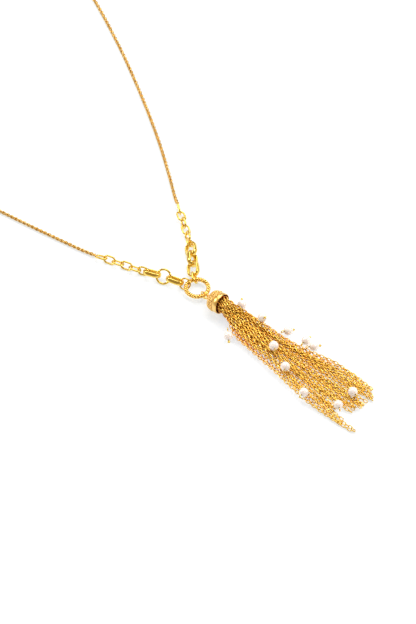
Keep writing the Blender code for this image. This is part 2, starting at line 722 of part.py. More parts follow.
def pin_reach():
    """How far the middle of a pin's loop and the middle of its ball are from the pearl's middle."""
    pearl = PEARL_DIAMETER / 2
    return pearl + GAP + PIN_LOOP / 2, pearl + GAP + sqrt((PIN_BALL / 2) ** 2 - (PIN_WIRE / 2) ** 2)


def pin_shape():
    """A pin along X: a ball at one end, a straight wire, and an open loop at the other end."""
    to_loop, to_ball = pin_reach()
    wire, ball, bend = PIN_WIRE / 2, PIN_BALL / 2, (PIN_LOOP - PIN_WIRE) / 2
    rings = []
    for turn in (15, 50, 90, 130):
        x = to_ball + ball * cos(radians(turn))
        rings.append((Vector((x, 0, 0)), Vector((-1, 0, 0)), ball * sin(radians(turn))))
    for x in (to_ball - ball, -(PEARL_DIAMETER + GAP) / 2):
        rings.append((Vector((x, 0, 0)), Vector((-1, 0, 0)), wire))
    middle = Vector((-to_loop, 0, 0))
    sweep = 360 - PIN_LOOP_OPENING
    for station in range(PIN_LOOP_STATIONS):
        turn = radians(PIN_LOOP_OPENING / 2 + sweep * station / (PIN_LOOP_STATIONS - 1))
        spot = middle + bend * Vector((cos(turn), 0, sin(turn)))
        rings.append((spot, Vector((-sin(turn), 0, cos(turn))), wire))
    solid = []
    for spot, ahead, radius in rings:
        across = Vector((0, 1, 0))
        above = across.cross(ahead)
        turns = [2 * pi * side / PIN_SIDES for side in range(PIN_SIDES)]
        solid.append([spot + (across * cos(turn) + above * sin(turn)) * radius for turn in turns])
    return skin(solid)


def add_pearls(mouth, tassel):
    """Adds the pearls, seated on the tassel and the surface, each with its pin."""
    surface = surface_of(tassel)
    forwards = heading(TASSEL_HEADING)
    sideways = UP.cross(forwards)
    placed = []
    for number, pearl in enumerate(PEARLS, 1):
        level = Vector((mouth.x, mouth.y, 0)) + forwards * pearl.along * TASSEL_LENGTH
        level += sideways * pearl.side * TASSEL_HALF_WIDTH
        middle = level + UP * seat_height(level, PEARL_DIAMETER / 2, surface, placed)
        away = heading(pearl.heading)
        rise = pin_rise(middle, away, pearl.rise, surface)
        axis = away * cos(radians(rise)) + UP * sin(radians(rise))
        place = run(middle - axis, middle + axis)
        add_piece(f"pearl_{number}", pearl_shape(), "pearl", place)
        add_piece(f"head_pin_{number}", pin_shape(), "polished_gold", place)
        placed.append(middle)


def centre_on_surface():
    """Hangs every piece on one empty, with the origin below the necklace's middle."""
    whole = bpy.data.objects.new("tassel_necklace", None)
    graph = bpy.context.evaluated_depsgraph_get()
    corners = []
    for piece in bpy.context.scene.collection.objects:
        piece.parent = whole
        if not piece.hide_render:
            solid = piece.evaluated_get(graph)
            corners += [piece.matrix_world @ vertex.co for vertex in solid.to_mesh().vertices]
            solid.to_mesh_clear()
    low = Vector([min(corner[axis] for corner in corners) for axis in range(3)])
    high = Vector([max(corner[axis] for corner in corners) for axis in range(3)])
    bpy.context.scene.collection.objects.link(whole)
    whole.location = (-(low.x + high.x) / 2, -(low.y + high.y) / 2, -low.z)


def main():
    clear_scene()
    add_twisted_ring()
    add_neck_chain()
    mouth = add_cap()
    tassel = add_tassel(mouth)
    add_pearls(mouth, tassel)
    centre_on_surface()


main()
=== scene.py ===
"""Dresses the tassel necklace: fine links, rope chain, ring of twisted wire, grained cap, chains of the
tassel, pearls and their pins, in their golds with painted shade in their hollows and pearls with a faint
painted glow, on a pale floor in soft studio light."""

import random
from collections import namedtuple
from itertools import accumulate
from math import asin, cos, pi, radians, sin, sqrt

import bmesh
import bpy
import numpy as np
from mathutils import Matrix, Vector, noise


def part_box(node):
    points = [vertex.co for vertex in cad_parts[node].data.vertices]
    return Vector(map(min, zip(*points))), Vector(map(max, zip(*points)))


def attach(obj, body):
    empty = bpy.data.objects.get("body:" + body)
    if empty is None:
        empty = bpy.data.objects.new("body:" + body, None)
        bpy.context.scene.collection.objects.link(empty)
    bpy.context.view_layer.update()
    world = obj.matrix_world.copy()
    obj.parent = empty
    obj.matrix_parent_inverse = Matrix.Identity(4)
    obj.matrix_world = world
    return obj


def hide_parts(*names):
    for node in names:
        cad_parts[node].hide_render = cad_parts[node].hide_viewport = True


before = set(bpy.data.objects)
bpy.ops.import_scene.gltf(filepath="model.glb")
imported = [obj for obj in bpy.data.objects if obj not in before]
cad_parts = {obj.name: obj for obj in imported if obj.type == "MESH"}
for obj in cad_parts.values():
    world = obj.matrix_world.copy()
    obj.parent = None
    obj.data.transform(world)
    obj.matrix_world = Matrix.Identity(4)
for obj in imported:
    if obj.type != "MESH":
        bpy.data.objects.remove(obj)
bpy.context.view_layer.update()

MM = 0.001
UP = Vector((0, 0, 1))

# Links, in millimetres: length, width, thickness of the metal, width of its band, and how round the metal's
# section is, from a flat band at 0 to round wire at 1
Link = namedtuple("Link", "length width thick band round")
SMALL_LINK = Link(7.0, 4.8, 1.00, 1.00, 1.0)
END_LINK = Link(6.4, 5.0, 1.00, 1.00, 1.0)
WIDE_LINK = Link(9.6, 6.8, 1.10, 2.40, 0.5)
ROUND_LINK = Link(8.4, 8.4, 1.15, 1.15, 1.0)
JUMP_RING = Link(6.4, 6.4, 0.85, 0.85, 1.0)
JUMP_LINK = Link(7.2, 5.6, 1.00, 1.00, 1.0)
BAIL_LINK = Link(7.2, 4.4, 0.80, 0.80, 1.0)
CLASP_LINK = Link(5.1, 3.7, 0.75, 0.75, 1.0)
CLASP_RING = Link(5.8, 5.8, 0.80, 0.80, 1.0)
CAP_EYE = Link(3.1, 3.1, 0.75, 0.75, 1.0)
LINKS = {
    **{f"{side}_small_link_{number}": SMALL_LINK for side in ("left", "right") for number in range(1, 6)},
    "clasp_link": CLASP_LINK,
    "left_end_link": END_LINK,
    "right_end_link": END_LINK,
    "left_wide_link_1": WIDE_LINK,
    "left_wide_link_2": WIDE_LINK,
    "right_wide_link_1": WIDE_LINK,
    "right_wide_link_2": WIDE_LINK,
    "right_wide_link_3": WIDE_LINK,
    "left_round_link": ROUND_LINK,
    "left_jump_ring": JUMP_RING,
    "right_jump_link": JUMP_LINK,
    "bail_link": BAIL_LINK,
    "clasp_ring": CLASP_RING,
}

# Sides of a drawn link: how many round its oval, and how many round its metal
Sides = namedtuple("Sides", "oval metal")
LINK_SIDES = Sides(48, 14)
ROPE_SIDES = Sides(10, 4)
STRAND_SIDES = Sides(12, 5)
WIRE_SIDES = 10

# Rope chain: its route in millimetres from the twisted ring's middle, and the rings of its two strands
CHAIN_ROUTE = [
    (0, 0), (-13, 5.5), (-32, 13.4), (-51, 22.3), (-75, 36.5), (-98.5, 51.3), (-130, 71.5), (-164, 96),
    (-194, 128), (-213, 165), (-219, 204), (-208, 241), (-181, 266), (-145, 276), (-108, 267),
    (-79, 242), (-58, 207), (-41.5, 168), (-28.5, 130), (-19.8, 100), (-14.3, 76.4), (-10.3, 57),
    (-6.1, 40.5), (-3.3, 27.5), (-2.4, 18), (-1.5, 8), (0, 0),
]
Half = namedtuple("Half", "near far near_height far_height")
ROPE_HALVES = {
    "left": Half(56.4, 372.4, 1.44, 2.08),
    "right": Half(706.5, 394.4, 2.96, 2.61),
}
ROPE_DIAMETER = 2.1 * MM
ROPE_RISE = 9 * MM
ROPE_STRAND = 1.15 * MM
ROPE_WIRE = 0.40 * MM
ROPE_SPACING = 0.34 * MM
ROPE_PITCH = 5.0 * MM
ROPE_STEPS = 240
ROUTE_STEPS = 24

# Ring of twisted wire. RING_GROOVE and RING_CREST are shares of the way out from the middle of its thickness,
# between which its painted shade fades from full in the hollows between the wires to none on their crests.
RING_OUTSIDE = 13.7 * MM
RING_THICK = 2.3 * MM
RING_GROOVE = 0.62
RING_CREST = 0.95
RING_STRANDS = 3
RING_TURNS = 9
RING_STEPS = 10

# Cap: which way its mouth faces, and its turning as shares of its length and radius
CAP_HEADING = -38.2
CAP_RISE = 7.0
CAP_RADIUS = 5.8 * MM
CAP_LENGTH = 8.3 * MM
CAP_EYE_SINK = 0.35 * MM
Turned = namedtuple("Turned", "back radius")
CAP_OUTSIDE = [
    Turned(1.000, 0.00), Turned(0.995, 0.10), Turned(0.97, 0.29), Turned(0.93, 0.44), Turned(0.87, 0.59),
    Turned(0.81, 0.70), Turned(0.74, 0.785), Turned(0.67, 0.845), Turned(0.61, 0.88), Turned(0.585, 0.88),
    Turned(0.57, 0.86), Turned(0.555, 0.86), Turned(0.54, 0.87), Turned(0.51, 0.90), Turned(0.475, 0.925),
    Turned(0.44, 0.93), Turned(0.405, 0.925), Turned(0.37, 0.91), Turned(0.35, 0.895), Turned(0.33, 0.885),
    Turned(0.30, 0.91), Turned(0.25, 0.935), Turned(0.18, 0.95), Turned(0.11, 0.955), Turned(0.05, 0.95),
    Turned(0.015, 0.94), Turned(0.00, 0.92),
]
CAP_INSIDE = [
    Turned(0.00, 0.885), Turned(0.015, 0.865), Turned(0.06, 0.85), Turned(0.30, 0.83), Turned(0.55, 0.79),
    Turned(0.70, 0.68), Turned(0.80, 0.52), Turned(0.87, 0.28), Turned(0.88, 0.00),
]
CAP_SIDES = 72
CAP_LEAST = 0.01 * MM
CAP_RIM = 0.05 * MM
# Painted shade on the cap: half on the outside between the grains, over these shares of its length, and full
# inside its hollow
CAP_GRAINED = (0.32, 0.82)
UNSHADED_SHARE_BETWEEN_GRAINS = 0.5
Grains = namedtuple("Grains", "size round sunk rows")
GRAINS = Grains(0.80 * MM, 30, 0.12 * MM, [0.375, 0.445, 0.515, 0.595, 0.67, 0.745])
BEADS = Grains(0.45 * MM, 60, 0.045 * MM, [0.33])

# Tassel: the spread of the bundle, its locks, and the chains that fill each lock
TASSEL_HEADING = -43.5
TASSEL_LENGTH = 95 * MM
TASSEL_HALF_WIDTH = 14 * MM
LOCK_WIDTH = 4.0 * MM
LOCK_THICKNESS = 3.5 * MM
LOCK_LIFT = 2.5 * MM
GATHER_SHARE = 0.16
DROP_SHARE = 0.22
LIFT_SHARE = 0.8
MOUTH_ROOM = 3.75 * MM
MOUTH_ROW = 6
MOUTH_SPREAD = 0.3
GOLDEN_TURN = pi * (3 - sqrt(5))
Spread = namedtuple("Spread", "along low high")
TASSEL_SPREAD = [
    Spread(0.00, -0.20, 0.20), Spread(0.10, -0.31, 0.36), Spread(0.20, -0.50, 0.44),
    Spread(0.38, -0.59, 0.47), Spread(0.52, -0.67, 0.60), Spread(0.66, -0.85, 0.80),
    Spread(0.78, -0.92, 0.96), Spread(0.92, -0.90, 1.04), Spread(1.06, -0.84, 1.05),
]
Lock = namedtuple("Lock", "mouth_side mouth_up reach across size upper chains apart")
LOCKS = [
    Lock(0.95, -0.20, 0.93, 0.97, 0.95, False, 5, 1.0),
    Lock(0.75, 0.50, 0.97, 0.85, 1.00, True, 6, 0.75),
    Lock(0.35, -0.80, 0.985, 0.73, 0.95, False, 5, 1.15),
    Lock(0.20, 0.95, 0.965, 0.565, 1.00, True, 6, 0.75),
    Lock(0.05, 0.00, 1.00, 0.45, 1.00, False, 5, 1.15),
    Lock(-0.20, 0.90, 0.955, 0.34, 0.95, True, 6, 0.75),
    Lock(-0.35, -0.80, 0.88, 0.20, 0.90, False, 4, 1.1),
    Lock(-0.75, 0.50, 0.985, 0.09, 0.60, True, 2, 1.0),
    Lock(-0.95, -0.20, 1.06, 0.00, 0.80, False, 3, 1.7),
]
Place = namedtuple("Place", "aside above")
PLACES = [
    Place(-0.65, 0.75), Place(0.7, 0.65), Place(0.0, -0.9), Place(-1.15, -0.3), Place(1.15, -0.4),
    Place(0.0, 0.1),
]
CHAIN_ROOM = 1.2 * MM
Swell = namedtuple("Swell", "along size")
LOCK_SWELLS = [
    Swell(0.00, 0.80), Swell(0.04, 0.84), Swell(0.10, 0.92), Swell(0.18, 1.00), Swell(0.30, 1.05),
    Swell(0.45, 1.05), Swell(0.60, 1.00), Swell(0.78, 0.95), Swell(0.93, 0.90), Swell(1.00, 0.85),
]
STRAND_LINK = Link(2.9, 1.8, 0.50, 0.50, 1.0)
STRAND_PITCH = 2.0 * MM
STRAND_STEPS = 30
STRAND_LEAN = 20
STRAND_TWIST = 50
STRAND_REST = 0.95 * MM
STRAND_FRAY = 0.11
BUNDLE_SHARE = 1.1
STRAND_EDGE = 1.2 * MM
STRAND_DEPTH = 3.2 * MM
STRAND_SETTLE = 0.35
# Painted shade on the tassel's chains: how much for the lower locks and for chains low in a lock, fading
# along the tassel to none at BUNDLE_SHARE of its length
LOWER_LOCK_PAINTED_SHADE = 0.4
LOW_STRAND_PAINTED_SHADE = 0.5
Wave = namedtuple("Wave", "size tempo start")
WAVE_LIFT = 0.4
WAVE_SHIFT = 3
LOCK_WANDER = 0.55 * MM
LOCK_TEMPO = (1.5, 2.5)
STRAND_WANDER = 0.2 * MM
STRAND_TEMPO = (2.5, 4)
CHANCE_SEED = 7

# Pearls and pins
PEARLS = 11
PEARL_RADIUS = 2.45 * MM
PEARL_BORE = 0.45 * MM
PEARL_SIDES = 32
PEARL_STEPS = 18
PEARL_UNEVEN = 0.02
PIN_WIRE = 0.5 * MM
PIN_BALL = 1.4 * MM
PIN_BALL_TURNS = (4, 20, 40, 60, 80, 100, 120, 140)
PIN_LOOP = 2.0 * MM
PIN_LOOP_OPENING = 50
PIN_LOOP_STEPS = 24
PIN_CLEAR = 0.3 * MM

# View and floor: the photograph's angle above the floor, and how far off and how wide the camera looks
VIEW_ANGLE = 50
VIEW_DISTANCE = 3.0
VIEW_WIDTH = 0.312
VIEW_ASIDE = Vector((5.5 * MM, -15.7 * MM, 0))
FILM_WIDTH = 36
FLOOR_SIZE = 12


class Value:
    """A number, colour, vector or shape in a node tree. Sums on a number add Math nodes to its tree."""

    def __init__(self, nodes, socket):
        self.nodes = nodes
        self.socket = socket

    def other(self, name):
        """Another output of the same node."""
        return Value(self.nodes, self.socket.node.outputs[name])

    def maths(self, operation, *values):
        """The result of a Math node on those values."""
        return self.nodes.add("ShaderNodeMath", {"operation": operation}, dict(enumerate(values)))

    def __add__(self, other):
        return self.maths("ADD", self, other)

    def __radd__(self, other):
        return self.maths("ADD", other, self)

    def __sub__(self, other):
        return self.maths("SUBTRACT", self, other)

    def __mul__(self, other):
        return self.maths("MULTIPLY", self, other)

    def __rmul__(self, other):
        return self.maths("MULTIPLY", other, self)

    def __truediv__(self, other):
        return self.maths("DIVIDE", self, other)

    def __rtruediv__(self, other):
        return self.maths("DIVIDE", other, self)

    def __pow__(self, other):
        return self.maths("POWER", self, other)

    def __mod__(self, other):
        return self.maths("FLOORED_MODULO", self, other)

    def sign(self):
        return self.maths("SIGN", self)

    def size(self):
        return self.maths("ABSOLUTE", self)

    def sine(self):
        return self.maths("SINE", self)

    def cosine(self):
        return self.maths("COSINE", self)


class Nodes:
    """Adds and links the nodes of one tree, of a material or of a shape."""

    def __init__(self, tree):
        self.tree = tree

    def add(self, kind, settings=None, sockets=None, out=0):
        """Adds a node with its settings, then the values or links of its sockets. Returns one output."""
        node = self.tree.nodes.new(kind)
        for name, setting in (settings or {}).items():
            if name == "stops":
                for stop, position in zip(node.color_ramp.elements, setting):
                    stop.position = position
            else:
                setattr(node, name, setting)
        for name, value in (sockets or {}).items():
            for one in value if isinstance(value, list) else [value]:
                if isinstance(one, Value):
                    self.tree.links.new(one.socket, node.inputs[name])
                else:
                    node.inputs[name].default_value = one
        return Value(self, node.outputs[out]) if node.outputs else None

    def colours(self, share, first, second):
        """A colour mixed from two by a share."""
        ends = {0: share, 6: (*first, 1) if isinstance(first, tuple) else first,
                7: (*second, 1) if isinstance(second, tuple) else second}
        return self.add("ShaderNodeMix", {"data_type": "RGBA"}, ends, 2)

    def ramp(self, share, low, high):
        """The share drawn out: 0 up to its low value, and 1 from its high one."""
        return self.add("ShaderNodeValToRGB", {"stops": (low, high)}, {"Fac": share})

    def vector(self, x=0.0, y=0.0, z=0.0):
        """A vector from three numbers."""
        return self.add("ShaderNodeCombineXYZ", None, {"X": x, "Y": y, "Z": z})

    def cloud(self, place, scale, detail=2.0, roughness=0.5):
        """Soft noise about a half, its features about 1 / scale metres wide."""
        return self.add("ShaderNodeTexNoise", None, {
            "Vector": place, "Scale": scale, "Detail": detail, "Roughness": roughness})


def material_nodes(name):
    """A new material's nodes, its shader and the place on the object that its patterns go by."""
    material = bpy.data.materials.new(name)
    material.use_nodes = True
    nodes = Nodes(material.node_tree)
    shader = material.node_tree.nodes["Principled BSDF"]
    spot = nodes.add("ShaderNodeTexCoord", out="Object")
    return material, nodes, shader, spot


def feed(nodes, shader, **sockets):
    """Links values to the sockets of a shader, named with _ for each space."""
    for name, value in sockets.items():
        nodes.tree.links.new(value.socket, shader.inputs[name.replace("_", " ")])


def gold(name, bright, deep, worn, roughness, lacquer, painted_shade=None):
    """Gold plate: its colour drifts from bright to deep, with fine worn specks and a wavy polish under clear
    lacquer. With a painted shade colour, it darkens to that where the mesh's outside attribute is low:
    painted shade in hollows and gaps between wires, grains and chains."""
    material, nodes, shader, spot = material_nodes(name)
    drift = nodes.cloud(spot, 160, 3)
    specks = nodes.cloud(spot, 2600, 4, 0.65)
    waves = nodes.cloud(spot, 620, 2)
    plated = nodes.colours(nodes.ramp(drift, 0.35, 0.7), deep, bright)
    wear = nodes.ramp(specks, 0.58, 0.8)
    # painted shade: mixed in where the outside attribute is low, in hollows and gaps between parts
    if painted_shade:
        outside = nodes.add("ShaderNodeAttribute", {"attribute_name": "outside"}, out="Fac")
        plated = nodes.colours(outside, painted_shade, plated)
    shader.inputs["Metallic"].default_value = 1
    shader.inputs["Coat Weight"].default_value = lacquer
    shader.inputs["Coat Roughness"].default_value = 0.12
    shader.inputs["Specular Tint"].default_value = (1, 0.96, 0.86, 1)
    feed(nodes, shader,
         Base_Color=nodes.colours(wear, plated, worn),
         Roughness=roughness + 0.10 * (specks - 0.5) + 0.10 * (drift - 0.5),
         Normal=nodes.add("ShaderNodeBump", None, {
             "Strength": 0.08, "Distance": 0.1 * MM, "Height": waves + 0.15 * specks}))
    return material


def glowing_pearl():
    """Pearl: white with faint pink and grey clouds, slightly uneven under a clear bright coat, glowing
    faintly in its own colours as painted light.
    """
    material, nodes, shader, spot = material_nodes("pearl")
    blush = nodes.cloud(spot, 330, 3)
    bands = nodes.cloud(nodes.add("ShaderNodeMapping", None, {"Vector": spot, "Scale": (1, 1, 2.4)}), 700, 3)
    pits = nodes.cloud(spot, 2400, 2)
    body = nodes.colours(blush, (0.90, 0.82, 0.77), (0.94, 0.90, 0.86))
    pearl_and_glow = nodes.colours(0.4 * bands, body, (0.94, 0.85, 0.84))
    # painted light: the pearl glows faintly in its own colours, lifting its shaded side
    shader.inputs["Emission Strength"].default_value = 0.14
    shader.inputs["Subsurface Weight"].default_value = 0.25
    shader.inputs["Subsurface Radius"].default_value = (1.0, 0.7, 0.6)
    shader.inputs["Subsurface Scale"].default_value = 0.6 * MM
    shader.inputs["Coat Weight"].default_value = 1.0
    shader.inputs["Coat Roughness"].default_value = 0.08
    feed(nodes, shader,
         Base_Color=pearl_and_glow,
         Emission_Color=pearl_and_glow,
         Roughness=0.26 + 0.16 * (bands - 0.5),
         Normal=nodes.add("ShaderNodeBump", None, {
             "Strength": 0.25, "Distance": 0.12 * MM, "Height": bands + 0.2 * pits}))
    return material


def paper_floor():
    """The pale floor, with a little light of its own so that shadows stay faint."""
    material, nodes, shader, spot = material_nodes("pale floor")
    shader.inputs["Roughness"].default_value = 0.9
    shader.inputs["Specular IOR Level"].default_value = 0.1
    shader.inputs["Emission Strength"].default_value = 0.64
    shader.inputs["Emission Color"].default_value = (0.86, 0.94, 1, 1)
    grey = nodes.colours(nodes.cloud(spot, 40), (0.46, 0.46, 0.47), (0.48, 0.48, 0.48))
    feed(nodes, shader, Base_Color=grey)
    return material


def shape_tree(name, *sizes):
    """A Geometry Nodes tree with named inputs. Returns its nodes and its inputs by name."""
    tree = bpy.data.node_groups.new(name, "GeometryNodeTree")
    tree.interface.new_socket("Start", in_out="INPUT", socket_type="NodeSocketGeometry")
    for size in sizes:
        tree.interface.new_socket(size, in_out="INPUT", socket_type="NodeSocketFloat")
    tree.interface.new_socket("Finish", in_out="INPUT", socket_type="NodeSocketMaterial")
    tree.interface.new_socket("Piece", in_out="OUTPUT", socket_type="NodeSocketGeometry")
    nodes = Nodes(tree)
    start = nodes.add("NodeGroupInput")
    return nodes, {name: start.other(name) for name in ("Start", *sizes, "Finish")}


def close_tree(nodes, shape, given):
    """Ends a shape tree: its instances made real, shaded smooth and given their finish."""
    real = nodes.add("GeometryNodeRealizeInstances", None, {"Geometry": shape})
    smooth = nodes.add("GeometryNodeSetShadeSmooth", None, {"Geometry": real})
    finished = nodes.add("GeometryNodeSetMaterial", None, {"Geometry": smooth, "Material": given["Finish"]})
    nodes.add("NodeGroupOutput", None, {"Piece": finished})
    return nodes.tree


def grown(tree, finish, start=None, **sizes):
    """The plain mesh that a shape tree makes from a start mesh, with those sizes."""
    holder = bpy.data.objects.new(tree.name, start or bpy.data.meshes.new("empty start"))
    bpy.context.scene.collection.objects.link(holder)
    growth = holder.modifiers.new("growth", "NODES")
    growth.node_group = tree
    wanted = {"Finish": finish, **sizes}
    for item in tree.interface.items_tree:
        if item.in_out == "INPUT" and item.name in wanted:
            growth[item.identifier] = wanted[item.name]
    graph = bpy.context.evaluated_depsgraph_get()
    mesh = bpy.data.meshes.new_from_object(holder.evaluated_get(graph), depsgraph=graph)
    bpy.data.objects.remove(holder)
    mesh.materials.clear()
    mesh.materials.append(finish)
    return mesh


def oval_wire(nodes, length, width, thick, band, roundness, sides):
    """A link in a shape tree, flat in X and Y with its length along X."""
    circle = nodes.add("GeometryNodeCurvePrimitiveCircle", None, {
        "Resolution": sides.oval, "Radius": (width - thick) / 2})
    spot = nodes.add("ShaderNodeSeparateXYZ", None, {"Vector": nodes.add("GeometryNodeInputPosition")})
    flank = (length - width) / 2
    oval = nodes.add("GeometryNodeSetPosition", None, {
        "Geometry": circle, "Offset": nodes.vector(spot.sign() * flank)})
    upright = nodes.add("GeometryNodeSetCurveNormal", {"mode": "Z_UP"}, {"Curve": oval})
    section = nodes.add("GeometryNodeCurvePrimitiveCircle", None, {"Resolution": sides.metal, "Radius": 1.0})
    across = spot.other("Y")
    metal = nodes.add("GeometryNodeSetPosition", None, {
        "Geometry": section,
        "Position": nodes.vector(spot * thick / 2, across.sign() * across.size() ** roundness * band / 2)})
    return nodes.add("GeometryNodeCurveToMesh", None, {"Curve": upright, "Profile Curve": metal})


def link_tree():
    """One link of wire, or of a band whose section is less round."""
    nodes, given = shape_tree("link", "Length", "Width", "Thick", "Band", "Roundness")
    link = oval_wire(nodes, given["Length"], given["Width"], given["Thick"], given["Band"],
                     given["Roundness"], LINK_SIDES)
    return close_tree(nodes, link, given)


def turned_by(nodes, turning, axis, angle):
    """A rotation turned further about one of its own axes."""
    more = nodes.add("FunctionNodeAxisAngleToRotation", None, {"Axis": axis, "Angle": angle})
    return nodes.add("FunctionNodeRotateRotation", {"rotation_space": "LOCAL"}, {
        "Rotation": turning, "Rotate By": more})


def marked_outside(nodes, shape, share):
    """The shape with a share stored at each point: 1 on the outside, 0 deep in a hollow, where gold's painted
    shade is full.
    """
    return nodes.add("GeometryNodeStoreNamedAttribute", {"data_type": "FLOAT", "domain": "POINT"}, {
        "Geometry": shape, "Name": "outside", "Value": share})


def rope_tree():
    """A rope chain along an edge: two strands of close rings, twisted round each other, with painted shade
    on the side of each ring that faces the rope's axis.
    """
    nodes, given = shape_tree("rope chain", "Diameter", "Strand", "Wire", "Spacing", "Pitch")
    route = nodes.add("GeometryNodeMeshToCurve", None, {"Mesh": given["Start"]})
    spots = nodes.add("GeometryNodeCurveToPoints", {"mode": "LENGTH"}, {
        "Curve": route, "Length": given["Spacing"]})
    size = given["Strand"]
    plain_ring = oval_wire(nodes, size, size, given["Wire"], given["Wire"], 1.0, ROPE_SIDES)
    spot = nodes.add("ShaderNodeSeparateXYZ", None, {"Vector": nodes.add("GeometryNodeInputPosition")})
    # painted shade: each ring darker on its side towards the rope's axis, where the strands shade each other
    ring = marked_outside(nodes, plain_ring, spot / size * 1.3 + 0.5)
    offset = (given["Diameter"] - size) / 2
    climb = 2 * pi / given["Pitch"]
    lean = offset.maths("ARCTANGENT", offset * climb) * -1
    number = nodes.add("GeometryNodeInputIndex")
    strands = []
    for strand in range(2):
        around = turned_by(nodes, spots.other("Rotation"), (0, 0, 1),
                           number * given["Spacing"] * climb + pi * strand)
        aside = nodes.add("FunctionNodeRotateVector", None, {
            "Vector": nodes.vector(offset), "Rotation": around})
        moved = nodes.add("GeometryNodeSetPosition", None, {"Geometry": spots, "Offset": aside})
        strands.append(nodes.add("GeometryNodeInstanceOnPoints", None, {
            "Points": moved, "Instance": ring,
            "Rotation": turned_by(nodes, around, (1, 0, 0), lean)}))
    return close_tree(nodes, nodes.add("GeometryNodeJoinGeometry", None, {"Geometry": strands}), given)


def twisted_ring_tree():
    """A ring of round wires twisted together, with painted shade in the hollows between the wires."""
    nodes, given = shape_tree("twisted ring", "Outside", "Thick", "Turns")
    wire = given["Thick"] / (2 * (1 + 1 / sin(pi / RING_STRANDS)))
    offset = given["Thick"] / 2 - wire
    middle = (given["Outside"] - given["Thick"]) / 2
    around = RING_STRANDS * RING_TURNS * RING_STEPS
    share = nodes.add("GeometryNodeInputIndex") / around
    wires = []
    for strand in range(RING_STRANDS):
        circle = nodes.add("GeometryNodeCurvePrimitiveCircle", None, {"Resolution": around, "Radius": 1.0})
        turn = 2 * pi * share * given["Turns"] + 2 * pi * strand / RING_STRANDS
        reach = middle + offset * turn.cosine()
        heading = 2 * pi * share
        place = nodes.vector(heading.cosine() * reach, heading.sine() * reach, offset * turn.sine())
        twisted = nodes.add("GeometryNodeSetPosition", None, {"Geometry": circle, "Position": place})
        section = nodes.add("GeometryNodeCurvePrimitiveCircle", None, {
            "Resolution": WIRE_SIDES, "Radius": wire})
        wires.append(nodes.add("GeometryNodeCurveToMesh", None, {
            "Curve": twisted, "Profile Curve": section}))
    ring = nodes.add("GeometryNodeJoinGeometry", None, {"Geometry": wires})
    # painted shade: full in the hollows between the wires, none on their crests
    spot = nodes.add("ShaderNodeSeparateXYZ", None, {"Vector": nodes.add("GeometryNodeInputPosition")})
    reach = (spot ** 2 + spot.other("Y") ** 2) ** 0.5 - middle
    depth = (reach ** 2 + spot.other("Z") ** 2) ** 0.5 / (given["Thick"] / 2)
    share = (depth - RING_GROOVE) / (RING_CREST - RING_GROOVE)
    return close_tree(nodes, marked_outside(nodes, ring, share), given)


def strand_tree():
    """Cable chains along edges: oval links, each a quarter turn from the last, that twist slowly."""
    nodes, given = shape_tree("tassel chains", "Length", "Width", "Thick", "Pitch", "Lean", "Twist")
    routes = nodes.add("GeometryNodeMeshToCurve", None, {"Mesh": given["Start"]})
    level = nodes.add("GeometryNodeSetCurveNormal", {"mode": "Z_UP"}, {"Curve": routes})
    spots = nodes.add("GeometryNodeCurveToPoints", {"mode": "LENGTH"}, {
        "Curve": level, "Length": given["Pitch"]})
    flat = oval_wire(nodes, given["Length"], given["Width"], given["Thick"], given["Thick"], 1.0,
                     STRAND_SIDES)
    link = nodes.add("GeometryNodeTransform", None, {"Geometry": flat, "Rotation": (0, -pi / 2, 0)})
    number = nodes.add("GeometryNodeInputIndex")
    drift = nodes.cloud(nodes.add("GeometryNodeInputPosition"), 90, 1)
    roll = (number % 2) * (pi / 2) + given["Lean"] + (drift - 0.5) * given["Twist"]
    chain = nodes.add("GeometryNodeInstanceOnPoints", None, {
        "Points": spots, "Instance": link,
        "Rotation": turned_by(nodes, spots.other("Rotation"), (0, 0, 1), roll)})
    return close_tree(nodes, chain, given)


def grain_tree():
    """Fine grains of metal, one at each point of the start mesh."""
    nodes, given = shape_tree("grains", "Grain")
    ball = nodes.add("GeometryNodeMeshIcoSphere", None, {"Radius": given["Grain"] / 2, "Subdivisions": 2})
    grains = nodes.add("GeometryNodeInstanceOnPoints", None, {"Points": given["Start"], "Instance": ball})
    return close_tree(nodes, grains, given)


def from_shape(shape, finish, name="shape"):
    """A mesh from a bmesh, shaded smooth, with a finish."""
    mesh = bpy.data.meshes.new(name)
    bmesh.ops.recalc_face_normals(shape, faces=shape.faces)
    shape.to_mesh(mesh)
    shape.free()
    mesh.shade_smooth()
    mesh.materials.append(finish)
    return mesh


def skin(rings, finish, capped=True):
    """A mesh over a row of rings of as many points each."""
    shape = bmesh.new()
    rows = [[shape.verts.new(point) for point in ring] for ring in rings]
    for row, after in zip(rows, rows[1:]):
        for here in range(len(row)):
            beside = (here + 1) % len(row)
            shape.faces.new((row[here], row[beside], after[beside], after[here]))
    if capped:
        shape.faces.new(rows[0])
        shape.faces.new(rows[-1])
    return from_shape(shape, finish)


def routes_mesh(routes, outsides=None):
    """A mesh of edges along some routes, for a shape tree to start from, with how far outside each of
    its points lies where that is given."""
    points = [point for route in routes for point in route]
    edges = []
    first = 0
    for route in routes:
        edges += [(number, number + 1) for number in range(first, first + len(route) - 1)]
        first += len(route)
    mesh = bpy.data.meshes.new("routes")
    mesh.from_pydata([tuple(point) for point in points], edges, [])
    return marked(mesh, outsides) if outsides else mesh


def placed(mesh, place):
    """The mesh, moved to its place."""
    mesh.transform(place)
    return mesh


def rested(mesh, node):
    """The mesh, raised where it would reach lower than its CAD node."""
    lowest = min(vertex.co.z for vertex in mesh.vertices)
    return placed(mesh, Matrix.Translation(UP * max(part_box(node)[0].z - lowest, 0)))


